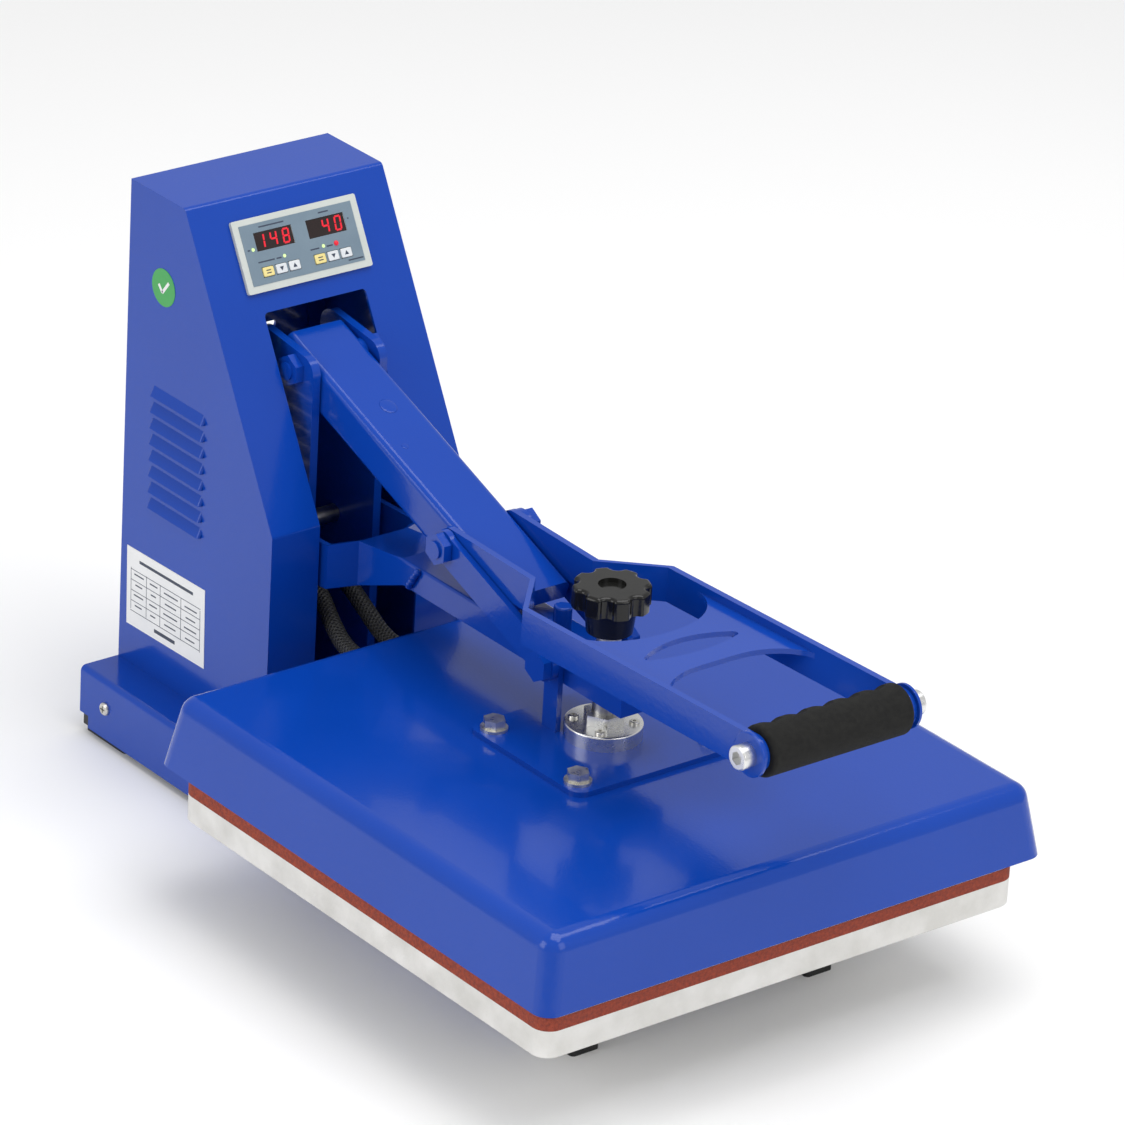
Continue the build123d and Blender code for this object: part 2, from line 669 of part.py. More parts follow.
def handle_rail(side):
    half = RAIL_H / 2
    rear = side_plate([(B_Y, B_Z - half), (B_Y, B_Z + half), (RAIL_FLARE_REAR, rail_edge(RAIL_FLARE_REAR) + half),
                       (RAIL_FLARE_REAR, rail_edge(RAIL_FLARE_REAR) - half)], RAIL_IN, RAIL_OUT)
    rear += rod_x(half, RAIL_IN, RAIL_OUT, B_Y, B_Z)
    inner = RAIL_FLARE_HALF
    outer = RAIL_FLARE_HALF + RAIL_T
    z_rear = rail_edge(RAIL_FLARE_FRONT)
    front = side_plate([(RAIL_FLARE_FRONT, z_rear - half), (RAIL_FLARE_FRONT, z_rear + half),
                        (GRIP_Y, GRIP_Z + half), (GRIP_Y, GRIP_Z - half)], inner, outer)
    front += rod_x(half, inner, outer, GRIP_Y, GRIP_Z)
    plan = [(RAIL_IN, RAIL_FLARE_REAR), (inner, RAIL_FLARE_FRONT), (outer, RAIL_FLARE_FRONT),
            (RAIL_OUT, RAIL_FLARE_REAR)]
    flare = extrude(make_face(Polyline(*plan, close=True)), 400)
    z0 = rail_edge(RAIL_FLARE_REAR)
    band = side_plate([(RAIL_FLARE_REAR, z0 - half), (RAIL_FLARE_REAR, z0 + half),
                       (RAIL_FLARE_FRONT, z_rear + half), (RAIL_FLARE_FRONT, z_rear - half)], 0, 100)
    rail = rear + front + (flare & band)
    rail -= rod_x(PIN_R + PIN_CLEAR, RAIL_IN - 1, RAIL_OUT + 1, B_Y, B_Z)
    rail -= rod_x(5 + PIN_CLEAR, inner - 1, outer + 1, GRIP_Y, GRIP_Z)
    return rail if side > 0 else mirror(rail, about=Plane.YZ)


def handle_cross_plate():
    half = RAIL_FLARE_HALF
    top = rail_edge((CROSS_REAR + CROSS_FRONT) / 2) + 3
    right = Line((half, CROSS_FRONT), (half, CROSS_HORN))
    rear = Spline((half, CROSS_HORN), (half - 6, CROSS_HORN - 18), (half - 21, CROSS_REAR - 15),
                  (0, CROSS_REAR - CROSS_DISH), (-half + 21, CROSS_REAR - 15), (-half + 6, CROSS_HORN - 18),
                  (-half, CROSS_HORN))
    left = Line((-half, CROSS_HORN), (-half, CROSS_FRONT))
    front = Spline((-half, CROSS_FRONT), (-half + 12, CROSS_FRONT + 17), (-half + 29, CROSS_FRONT + 24.5),
                   (0, CROSS_FRONT + 26), (half - 29, CROSS_FRONT + 24.5), (half - 12, CROSS_FRONT + 17),
                   (half, CROSS_FRONT))
    plan = make_face(right + rear + left + front)
    eye_rear = ThreePointArc((-EYE_HALF, EYE_Y), (0, EYE_Y + EYE_REAR), (EYE_HALF, EYE_Y))
    eye_front = ThreePointArc((EYE_HALF, EYE_Y), (0, EYE_Y - EYE_FRONT), (-EYE_HALF, EYE_Y))
    eye = make_face(eye_rear + eye_front)
    plate = extrude(plan - fillet(eye.vertices(), 3), CROSS_T)
    tilt = math.degrees(math.atan2(rail_edge(CROSS_FRONT) - rail_edge(CROSS_REAR), CROSS_REAR - CROSS_FRONT))
    middle = (CROSS_REAR + CROSS_FRONT) / 2
    return Pos(0, middle, top) * Rot(-tilt, 0, 0) * Pos(0, -middle, 0) * plate


def grip_tube():
    tube = rod_x(GRIP_TUBE_R, -RAIL_FLARE_HALF, RAIL_FLARE_HALF, GRIP_Y, GRIP_Z)
    return tube - rod_x(5 + PIN_CLEAR, -RAIL_FLARE_HALF - 1, RAIL_FLARE_HALF + 1, GRIP_Y, GRIP_Z)


def foam_grip():
    grip = rod_x(FOAM_R, -FOAM_HALF, FOAM_HALF, GRIP_Y, GRIP_Z)
    grip = fillet(grip.edges(), 2.5)
    waves = Pos(0, GRIP_Y, GRIP_Z) * Rot(FINGER_ANGLE, 0, 0)
    for finger in range(-2, 3):
        reach = FOAM_R + FINGER_R - FINGER_DEPTH
        grip -= waves * Pos(finger * FINGER_PITCH, reach, 0) * Cylinder(FINGER_R, 60)
    return grip - rod_x(GRIP_TUBE_R, -60, 60, GRIP_Y, GRIP_Z)


def grip_end_caps():
    outer = RAIL_FLARE_HALF + RAIL_T
    cap = rod_x(14.5, outer, outer + 2.5, GRIP_Y, GRIP_Z)
    cap = fillet(cap.edges().sort_by(Axis.X)[-1], 1)
    return group(both(cap - rod_x(5 + PIN_CLEAR, outer - 1, outer + 5, GRIP_Y, GRIP_Z)))


def grip_end_bolts():
    face = RAIL_FLARE_HALF + RAIL_T + 2.5
    head = rod_x(8, face, face + 9, GRIP_Y, GRIP_Z)
    head = fillet(head.edges().sort_by(Axis.X)[-1], 1)
    head -= hex_x(8, face + 4, face + 10, GRIP_Y, GRIP_Z)
    return group(both(head + rod_x(5, face - 40, face, GRIP_Y, GRIP_Z)))


# ---- link plates ----
def link(side):
    plate = Pos((LEVER_AB + LEVER_AB + LINK_BC) / 2, 0, 0) * Box(LINK_BC, LINK_T, 2 * LINK_R - 2)
    plate = BEAM.location * Pos(0, (LINK_IN + LINK_OUT) / 2, 0) * plate
    for y, z in ((B_Y, B_Z), (C_Y, C_Z)):
        plate += rod_x(LINK_R, LINK_IN, LINK_OUT, y, z)
    for y, z in ((B_Y, B_Z), (C_Y, C_Z)):
        plate -= rod_x(PIN_R + PIN_CLEAR, LINK_IN - 1, LINK_OUT + 1, y, z)
    return plate if side > 0 else mirror(plate, about=Plane.YZ)


def link_pivot_bolts():
    """Short shoulder bolts that end just outside the guide bars."""
    tip = ARM_HALF + SIDE_GAP + GUIDE_T + SIDE_GAP
    bolt = hex_x(BOLT_AF, LINK_OUT, LINK_OUT + BOLT_HEAD, C_Y, C_Z)
    bolt += rod_x(PIN_R, tip, LINK_OUT + 1, C_Y, C_Z)
    return group(both(bolt))


# ---- heater arm ----
def heater_arm():
    bottom = ARM_TOP - ARM_DEPTH
    web_outline = [(ARM_NOSE, ARM_TOP - ARM_WALL), (ARM_NOSE, ARM_TOP), (ARM_REAR - 46, ARM_TOP),
                   (ARM_REAR, ARM_TOP - 6), (ARM_REAR, ARM_TOP - 6 - ARM_WALL), (ARM_REAR - 46, ARM_TOP - ARM_WALL)]
    arm = side_plate(web_outline, -ARM_HALF, ARM_HALF)
    flange_outline = [(ARM_NOSE, bottom), (ARM_NOSE, ARM_TOP), (ARM_REAR - 46, ARM_TOP), (ARM_REAR, ARM_TOP - 6),
                      (ARM_REAR, ARM_TOP - 38), (ARM_REAR - 49, bottom)]
    for flange in both(side_plate(flange_outline, ARM_HALF - ARM_WALL, ARM_HALF)):
        arm += flange
    nose = block(-ARM_HALF, ARM_HALF, ARM_NOSE, ARM_NOSE + ARM_WALL, bottom, ARM_TOP)
    arm += nose
    top_edges = arm.edges().filter_by(Axis.Y).filter_by(lambda e: e.center().Z > ARM_TOP - 0.1)
    arm = fillet(top_edges, 2)
    arm -= rod_z(SCREW_R + 0.1, bottom, ARM_TOP + 1)
    arm -= rod_z(5 + PIN_CLEAR, bottom + 6, ARM_TOP + 1, 0, STOP_Y)
    return arm


def arm_leg(side):
    knee_top = ARM_TOP - 9
    knee_bottom = ARM_TOP - 40
    plan = [(ARM_HALF - ARM_WALL, ARM_REAR), (ARM_HALF, ARM_REAR), (LEG_IN + LEG_T, LEG_KNEE - 2),
            (LEG_IN + LEG_T, LEG_KNEE), (LEG_IN, LEG_KNEE)]
    flare = extrude(make_face(Polyline(*plan, close=True)), 400)
    band = side_plate([(ARM_REAR, knee_bottom + 2), (ARM_REAR, knee_top + 3), (LEG_KNEE, knee_top),
                       (LEG_KNEE, knee_bottom)], 0, 60)
    leg = side_plate([(LEG_KNEE, knee_bottom), (LEG_KNEE, knee_top), (D_Y, D_Z + LEG_EYE_R), (D_Y, D_Z - LEG_EYE_R)],
                     LEG_IN, LEG_IN + LEG_T)
    leg += rod_x(LEG_EYE_R, LEG_IN, LEG_IN + LEG_T, D_Y, D_Z)
    leg += flare & band
    leg -= rod_x(PIN_R + 3 + PIN_CLEAR, LEG_IN - 1, LEG_IN + LEG_T + 1, D_Y, D_Z)
    return leg if side > 0 else mirror(leg, about=Plane.YZ)


def arm_bushes():
    bush = rod_x(PIN_R + 3, UPRIGHT_IN + UPRIGHT_T + SIDE_GAP, LEG_IN + LEG_T + 0.7, D_Y, D_Z)
    bush += rod_x(PIN_R + 5, UPRIGHT_IN + UPRIGHT_T + SIDE_GAP, LEG_IN, D_Y, D_Z)
    return group(both(bush - rod_x(PIN_R + PIN_CLEAR, 0, 60, D_Y, D_Z)))


def pressure_nut():
    low = ARM_TOP - ARM_DEPTH - 2
    nut = block(-ARM_HALF + ARM_WALL, ARM_HALF - ARM_WALL, -16, 16, low, ARM_TOP - ARM_WALL)
    return nut - rod_z(SCREW_R + PIN_CLEAR, low - 1, ARM_TOP)


def stop_stud():
    stud = rod_z(6, ARM_TOP, STOP_TOP, 0, STOP_Y)
    stud = fillet(stud.edges().sort_by(Axis.Z)[-1], 1.5)
    return stud + rod_z(5, ARM_TOP - 10, ARM_TOP + 1, 0, STOP_Y)


# ---- heater ----
def cover_solid(inset):
    lower = Pos(0, 0, COVER_BOTTOM) * RectangleRounded(COVER_X - 2 * inset, COVER_Y - 2 * inset, COVER_CORNER)
    lean = 2 * (COVER_DRAFT + inset)
    upper = Pos(0, 0, COVER_TOP - inset) * RectangleRounded(COVER_X - lean, COVER_Y - lean, COVER_CORNER)
    body = loft([lower, upper])
    return fillet(body.faces().sort_by(Axis.Z)[-1].edges(), COVER_EDGE_R - inset)


def heater_cover():
    cover = cover_solid(0) - cover_solid(COVER_WALL)
    for x, y in mount_places():
        cover -= rod_z(4 + PIN_CLEAR, COVER_TOP - 5, COVER_TOP + 1, x, y)
    for points in (CABLE_LEFT, CABLE_RIGHT):
        cover -= rod_y(8.1, COVER_Y / 2 - 14, COVER_Y / 2 + 5, points[0][0], points[0][2])
    return cover


def mount_places():
    return [(side * MOUNT_BOLT[0], end * MOUNT_BOLT[1]) for side in (-1, 1) for end in (-1, 1)]


def heating_platen():
    platen = slab(PLATEN, PLATEN, HEATER_Z0, BLANKET_Z0, PLATEN_CORNER)
    for x, y in mount_places():
        platen -= rod_z(4 + PIN_CLEAR, BLANKET_Z0 - 12, BLANKET_Z0 + 1, x, y)
    return platen


def insulation_blanket():
    blanket = slab(PLATEN - 24, PLATEN - 24, BLANKET_Z0, BLANKET_Z0 + BLANKET_T, PLATEN_CORNER)
    for x, y in mount_places():
        blanket -= rod_z(8.5, BLANKET_Z0 - 1, BLANKET_Z0 + BLANKET_T + 1, x, y)
    return blanket


def heater_standoffs():
    top = COVER_TOP - COVER_WALL
    tubes = []
    for x, y in mount_places():
        tubes.append(rod_z(8, BLANKET_Z0, top, x, y) - rod_z(4 + PIN_CLEAR, BLANKET_Z0 - 1, top + 1, x, y))
    return group(tubes)


def flange_screw_places():
    reach = (FLANGE_R - 6) * math.cos(math.pi / 4)
    return [(sx * reach, sy * reach) for sx in (-1, 1) for sy in (-1, 1)]


def mount_plate():
    plate = Pos(0, -1, COVER_TOP) * extrude(RectangleRounded(PLATE_X, PLATE_Y, 10), PLATE_T)
    inner = ARM_HALF + SIDE_GAP
    bar = block(inner, inner + GUIDE_T, C_Y - 7, C_Y + 7, PLATE_TOP, C_Z + 9)
    bar = fillet(bar.edges().filter_by(Axis.X).sort_by(Axis.Z)[-2:], 6)
    slot = block(inner - 1, inner + GUIDE_T + 1, C_Y - 3, C_Y + 3, C_Z - 9, C_Z + 3)
    slot = fillet(slot.edges().filter_by(Axis.X), 2.5)
    for piece in both(bar - slot):
        plate += piece
    for x, y in mount_places():
        plate -= rod_z(4 + PIN_CLEAR, COVER_TOP - 1, PLATE_TOP + 1, x, y)
    for x, y in flange_screw_places():
        plate -= rod_z(2 + PIN_CLEAR, COVER_TOP + 1, PLATE_TOP + 1, x, y)
    return plate


def mount_bolts():
    bolts = []
    for x, y in mount_places():
        bolt = rod_z(9, PLATE_TOP, PLATE_TOP + 1.8, x, y) + hex_z(13, PLATE_TOP + 1, PLATE_TOP + 7.5, x, y)
        bolts.append(bolt + rod_z(4, BLANKET_Z0 - 11, PLATE_TOP + 1, x, y))
    return group(bolts)


def swivel_flange():
    disc = rod_z(FLANGE_R, PLATE_TOP, FLANGE_TOP)
    disc = fillet(disc.edges().sort_by(Axis.Z)[-1], 1.2)
    disc += hex_z(24, FLANGE_TOP, FLANGE_TOP + 7)
    disc -= rod_z(SCREW_R + PIN_CLEAR, PLATE_TOP + 2, FLANGE_TOP + 8)
    for x, y in flange_screw_places():
        disc -= rod_z(2 + PIN_CLEAR, PLATE_TOP - 1, FLANGE_TOP + 1, x, y)
    return disc


def flange_screws():
    screws = []
    for x, y in flange_screw_places():
        head = rod_z(3.4, FLANGE_TOP, FLANGE_TOP + 2, x, y)
        head = fillet(head.edges().sort_by(Axis.Z)[-1], 1)
        head -= hex_z(2, FLANGE_TOP + 1, FLANGE_TOP + 3, x, y)
        screws.append(head + rod_z(2, COVER_TOP + 1.5, FLANGE_TOP, x, y))
    return group(screws)


def cable_glands():
    glands = []
    for points in (CABLE_LEFT, CABLE_RIGHT):
        x, y, z = points[0]
        wall = COVER_Y / 2 - COVER_DRAFT * (z - COVER_BOTTOM) / (COVER_TOP - COVER_BOTTOM)
        body = rod_y(8, wall - 12, y, x, z) + rod_y(10.5, wall + 1.95, wall + 7, x, z)
        glands.append(body - rod_y(4, wall - 13, y - 3, x, z))
    return group(glands)


# ---- pressure screw ----
def pressure_screw():
    return chamfer(rod_z(SCREW_R, PLATE_TOP + 2.3, KNOB_BOTTOM + 8).edges().sort_by(Axis.Z)[-1], 1)


def pressure_knob():
    star = Circle(KNOB_R)
    for spot in PolarLocations(KNOB_R + 1.5, 8):
        star -= spot * Circle(5.2)
    star = fillet(star.vertices(), 2.2)
    knob = Pos(0, 0, KNOB_BOTTOM) * extrude(star, KNOB_H)
    knob = fillet(knob.faces().sort_by(Axis.Z)[-1].edges(), 2.5)
    knob -= Pos(0, 0, KNOB_BOTTOM + KNOB_H) * Cylinder(9, 6)
    knob += Pos(0, 0, (HUB_BOTTOM + KNOB_BOTTOM) / 2) * Cone(HUB_R, HUB_R + 2, KNOB_BOTTOM - HUB_BOTTOM)
    return knob - rod_z(SCREW_R + PIN_CLEAR, HUB_BOTTOM - 1, KNOB_BOTTOM + 8)


def all_parts():
    parts = {
        "base_deck": base_deck(), "base_rails": base_rails(), "foot_pads": foot_pads(),
        "base_screws": base_screws(), "platen_crossbars": platen_crossbars(), "base_bolts": base_bolts(),
        "lower_platen": lower_platen(), "silicone_pad": silicone_pad(),
        "tower_shell": tower_shell(), "tower_back_panel": tower_back_panel(),
        "back_panel_screws": back_panel_screws(),
        "upright_left": upright(-1), "upright_right": upright(1),
        "beam_pivot_bolt": beam_pivot_bolt(), "arm_pivot_bolt": arm_pivot_bolt(),
        "control_panel": control_panel(), "display_windows": display_windows(),
        "indicator_leds": indicator_leds(), "controller_board": controller_board(),
        "power_relay": power_relay(), "power_inlet": power_inlet(), "switch_frame": switch_frame(),
        "power_switch": power_switch(), "fuse_holder": fuse_holder(),
        "heater_cables": heater_cables(), "earth_wire": earth_wire(),
        "heater_arm": heater_arm(), "arm_legs": group([arm_leg(-1), arm_leg(1)]),
        "arm_bushes": arm_bushes(), "pressure_nut": pressure_nut(), "stop_stud": stop_stud(),
        "heater_cover": heater_cover(), "heating_platen": heating_platen(),
        "insulation_blanket": insulation_blanket(), "heater_standoffs": heater_standoffs(),
        "mount_plate": mount_plate(), "mount_bolts": mount_bolts(), "swivel_flange": swivel_flange(),
        "flange_screws": flange_screws(), "cable_glands": cable_glands(),
        "pressure_screw": pressure_screw(), "pressure_knob": pressure_knob(),
        "toggle_beam": toggle_beam(), "handle_rail_left": handle_rail(-1), "handle_rail_right": handle_rail(1),
        "handle_cross_plate": handle_cross_plate(), "grip_tube": grip_tube(), "foam_grip": foam_grip(),
        "grip_end_caps": grip_end_caps(), "grip_end_bolts": grip_end_bolts(),
        "toggle_pivot_bolt": toggle_pivot_bolt(),
        "link_left": link(-1), "link_right": link(1), "link_pivot_bolts": link_pivot_bolts(),
    }
    for name, x in button_places():
        parts[name] = button(x)
    return parts


os.makedirs("parts", exist_ok=True)
for name, shape in all_parts().items():
    export_step(shape.moved(Location((0, SHIFT_Y, 0))), f"parts/{name}.step")
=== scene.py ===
import bmesh
import bpy
import json
import math
from mathutils import Matrix, Vector


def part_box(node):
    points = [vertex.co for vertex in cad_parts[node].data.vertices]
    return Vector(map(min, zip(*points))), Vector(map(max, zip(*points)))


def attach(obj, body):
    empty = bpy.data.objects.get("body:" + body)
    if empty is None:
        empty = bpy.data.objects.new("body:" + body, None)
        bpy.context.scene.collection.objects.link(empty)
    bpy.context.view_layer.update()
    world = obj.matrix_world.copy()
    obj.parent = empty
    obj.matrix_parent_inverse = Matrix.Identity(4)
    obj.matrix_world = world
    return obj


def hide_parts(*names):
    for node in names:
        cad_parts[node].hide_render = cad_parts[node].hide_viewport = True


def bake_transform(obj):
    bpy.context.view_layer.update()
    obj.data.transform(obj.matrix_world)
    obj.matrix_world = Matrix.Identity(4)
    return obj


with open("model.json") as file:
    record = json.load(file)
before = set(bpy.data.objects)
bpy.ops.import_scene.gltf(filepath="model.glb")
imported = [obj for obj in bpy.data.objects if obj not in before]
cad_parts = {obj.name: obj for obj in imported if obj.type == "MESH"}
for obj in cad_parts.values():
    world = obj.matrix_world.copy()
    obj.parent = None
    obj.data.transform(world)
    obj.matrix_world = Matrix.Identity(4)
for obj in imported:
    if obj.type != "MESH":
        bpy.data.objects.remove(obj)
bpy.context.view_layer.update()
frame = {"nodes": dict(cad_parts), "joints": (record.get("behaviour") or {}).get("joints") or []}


# ---- camera ----
# A long lens from the operator's front left, a little above the press.
# It looks at the middle of the press and is rolled slightly.
look_at = Vector((0.0393, 0.0023, 0.2175))
azimuth = math.radians(-39.42)
elevation = math.radians(25.14)
roll = math.radians(3.36)
distance = 4.283
aim = Vector((-math.sin(azimuth) * math.cos(elevation), math.cos(azimuth) * math.cos(elevation),
              -math.sin(elevation)))
level = Vector((math.cos(azimuth), math.sin(azimuth), 0))
upright = level.cross(aim)
camera_x = math.cos(roll) * level + math.sin(roll) * upright
camera_y = math.cos(roll) * upright - math.sin(roll) * level
camera_data = bpy.data.cameras.new("camera")
camera_data.lens = 213.5
camera_data.sensor_width = 36.0
camera_data.clip_end = 50.0
camera = bpy.data.objects.new("camera", camera_data)
bpy.context.scene.collection.objects.link(camera)
camera.matrix_world = Matrix.Translation(look_at - distance * aim) @ Matrix(
    (camera_x, camera_y, -aim)).transposed().to_4x4()
bpy.context.scene.camera = camera


# ---- heater cables ----
# Two thick leads in black braided sleeve, from the relay in the tower to the glands behind the heater.
# They sag freely between the two.
def new_material(name, roughness=0.5, metallic=0.0):
    """A node material with its shader ready, and the shader's roughness and metallic as plain values."""
    material = bpy.data.materials.new(name)
    material.use_nodes = True
    shader = material.node_tree.nodes["Principled BSDF"]
    shader.inputs["Roughness"].default_value = roughness
    shader.inputs["Metallic"].default_value = metallic
    return material, material.node_tree, shader


def braid_material(name, dark, light, turns, pitch):
    """Two crossing families of strands round a lead, on its own UV map, with painted sheen on the strand
    crests and painted shade in the grooves.
    """
    material, tree, shader = new_material(name, 0.38)
    place = tree.nodes.new("ShaderNodeUVMap")
    split = tree.nodes.new("ShaderNodeSeparateXYZ")
    tree.links.new(place.outputs["UV"], split.inputs["Vector"])
    waves = []
    for way in (1, -1):
        along = tree.nodes.new("ShaderNodeMath")
        along.operation = "MULTIPLY"
        along.inputs[1].default_value = pitch * 2 * math.pi
        tree.links.new(split.outputs["X"], along.inputs[0])
        around = tree.nodes.new("ShaderNodeMath")
        around.operation = "MULTIPLY_ADD"
        around.inputs[1].default_value = way * turns * 2 * math.pi
        tree.links.new(split.outputs["Y"], around.inputs[0])
        tree.links.new(along.outputs[0], around.inputs[2])
        wave = tree.nodes.new("ShaderNodeMath")
        wave.operation = "SINE"
        tree.links.new(around.outputs[0], wave.inputs[0])
        waves.append(wave)
    high = tree.nodes.new("ShaderNodeMath")
    high.operation = "MAXIMUM"
    tree.links.new(waves[0].outputs[0], high.inputs[0])
    tree.links.new(waves[1].outputs[0], high.inputs[1])
    shade = tree.nodes.new("ShaderNodeMapRange")
    shade.inputs["From Min"].default_value = -0.4
    tree.links.new(high.outputs[0], shade.inputs["Value"])
    # Painted sheen and shade: the colour follows the strand height, lighter on the crests and darker in the
    # grooves.
    colour = tree.nodes.new("ShaderNodeMix")
    colour.data_type = "RGBA"
    colour.inputs["A"].default_value = (*dark, 1)
    colour.inputs["B"].default_value = (*light, 1)
    tree.links.new(shade.outputs["Result"], colour.inputs["Factor"])
    tree.links.new(colour.outputs["Result"], shader.inputs["Base Color"])
    relief = tree.nodes.new("ShaderNodeBump")
    relief.inputs["Distance"].default_value = 0.0004
    tree.links.new(high.outputs[0], relief.inputs["Height"])
    tree.links.new(relief.outputs["Normal"], shader.inputs["Normal"])
    return material


def lead(name, points, diameter, material):
    """A lead as a mesh tube on a smooth curve, with the centreline that it follows."""
    curve = bpy.data.curves.new(name, "CURVE")
    curve.dimensions = "3D"
    curve.resolution_u = 8
    spline = curve.splines.new("NURBS")
    spline.points.add(len(points) - 1)
    for control, point in zip(spline.points, points):
        control.co = (*point, 1)
    spline.order_u = 3
    spline.use_endpoint_u = True
    line = bpy.data.objects.new(name + "_line", curve)
    bpy.context.scene.collection.objects.link(line)
    centre = [vertex.co.copy() for vertex in bpy.data.meshes.new_from_object(line).vertices]
    mesh = bpy.data.meshes.new(name)
    shape = bmesh.new()
    sides = 20
    rings = []
    uv_layer = shape.loops.layers.uv.new("lead")
    across = Vector((1, 0, 0))
    travelled = 0.0
    for step, spot in enumerate(centre):
        before, after = centre[max(step - 1, 0)], centre[min(step + 1, len(centre) - 1)]
        tangent = (after - before).normalized()
        side = (across - across.dot(tangent) * tangent).normalized()
        other = tangent.cross(side)
        travelled += (spot - before).length
        ring = [shape.verts.new(spot + diameter / 2 * (math.cos(turn) * side + math.sin(turn) * other))
                for turn in (2 * math.pi * k / sides for k in range(sides))]
        rings.append((travelled, ring))
    for (low, first), (high, second) in zip(rings, rings[1:]):
        for k in range(sides):
            near, far = k, (k + 1) % sides
            face = shape.faces.new((first[near], first[far], second[far], second[near]))
            for loop, where in zip(face.loops, ((low, k), (low, k + 1), (high, k + 1), (high, k))):
                loop[uv_layer].uv = (where[0], where[1] / sides)
            face.smooth = True
    for _, ring in (rings[0], rings[-1]):
        shape.faces.new(ring)
    bmesh.ops.recalc_face_normals(shape, faces=shape.faces)
    shape.to_mesh(mesh)
    shape.free()
    bpy.data.objects.remove(line)
    piece = bpy.data.objects.new(name, mesh)
    bpy.context.scene.collection.objects.link(piece)
    mesh.materials.append(material)
    run = sum((b - a).length for a, b in zip(centre, centre[1:]))
    return piece, [list(p) for p in centre], run


shift = -0.09575
lead_diameter = 0.012
# The sleeve's lighter colour is painted sheen on the strand crests, its darker colour painted shade in the
# grooves.
sleeve_with_painted_sheen = braid_material("braided_sleeve_painted_sheen", (0.006, 0.006, 0.006), (0.034, 0.034, 0.033), 9, 320)
lead_routes = {
    "heater_lead_left": [(-30, 212, 117), (-30, 232, 117), (-25, 256, 127), (-17, 280, 137), (-12, 306, 137),
                         (-11, 331, 124), (-10, 351, 104), (-10, 361, 80)],
    "heater_lead_right": [(2, 212, 117), (2, 232, 117), (3, 256, 129), (5, 282, 140), (8, 309, 139),
                          (10, 334, 125), (10, 353, 104), (10, 361, 80)],
}
for name, route in lead_routes.items():
    points = [Vector((x / 1000, y / 1000 + shift, z / 1000)) for x, y, z in route]
    piece, path, run = lead(name, points, lead_diameter, sleeve_with_painted_sheen)
    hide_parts("heater_cables")
    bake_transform(piece)


# ---- earth wire ----
# A thin green and yellow wire from the board's lower edge to the left upright.
# The insulation is extruded in two colours that run along it.
earth, earth_tree, earth_shader = new_material("earth_insulation", 0.35)
stripe_place = earth_tree.nodes.new("ShaderNodeUVMap")
stripe_split = earth_tree.nodes.new("ShaderNodeSeparateXYZ")
stripe = earth_tree.nodes.new("ShaderNodeMath")
stripe.operation = "GREATER_THAN"
stripe.inputs[1].default_value = 0.4
stripe_colour = earth_tree.nodes.new("ShaderNodeMix")
stripe_colour.data_type = "RGBA"
stripe_colour.inputs["A"].default_value = (0.05, 0.22, 0.03, 1)
stripe_colour.inputs["B"].default_value = (0.75, 0.5, 0.03, 1)
earth_tree.links.new(stripe_place.outputs["UV"], stripe_split.inputs["Vector"])
earth_tree.links.new(stripe_split.outputs["Y"], stripe.inputs[0])
earth_tree.links.new(stripe.outputs[0], stripe_colour.inputs["Factor"])
earth_tree.links.new(stripe_colour.outputs["Result"], earth_shader.inputs["Base Color"])
panel_in = Vector(next(j["axis"] for j in frame["joints"] if j["name"] == "temperature_set_press"))
panel_up = Vector((0, -panel_in.z, panel_in.y))
panel_mesh = frame["nodes"]["control_panel"].data
panel_front = min(vertex.co.dot(panel_in) for vertex in panel_mesh.vertices)
panel_face = [vertex.co for vertex in panel_mesh.vertices if vertex.co.dot(panel_in) < panel_front + 1e-5]
panel_middle = Vector([(min(p[k] for p in panel_face) + max(p[k] for p in panel_face)) / 2 for k in range(3)])


def on_panel(across, up, proud=0.0):
    """A point on the control panel's face, in millimetres from its middle."""
    return panel_middle + Vector((across / 1000, 0, 0)) + up / 1000 * panel_up - proud / 1000 * panel_in


wire_start = on_panel(-36, -22, -18.6 - 2.5)
wire_lead = -0.010 * panel_up
earth_diameter = 0.003
wire_steps = [Vector((0, 0, 0)), wire_lead] + [Vector((x, y, z)) / 1000 for x, y, z in (
    (-0.8, -13, -19), (-0.5, -19, -31), (1.5, -18, -43), (4.3, -11, -52))]
piece, path, run = lead("earth_wire_insulated", [wire_start + step for step in wire_steps], earth_diameter,
                        earth)
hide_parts("earth_wire")
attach(piece, "frame")


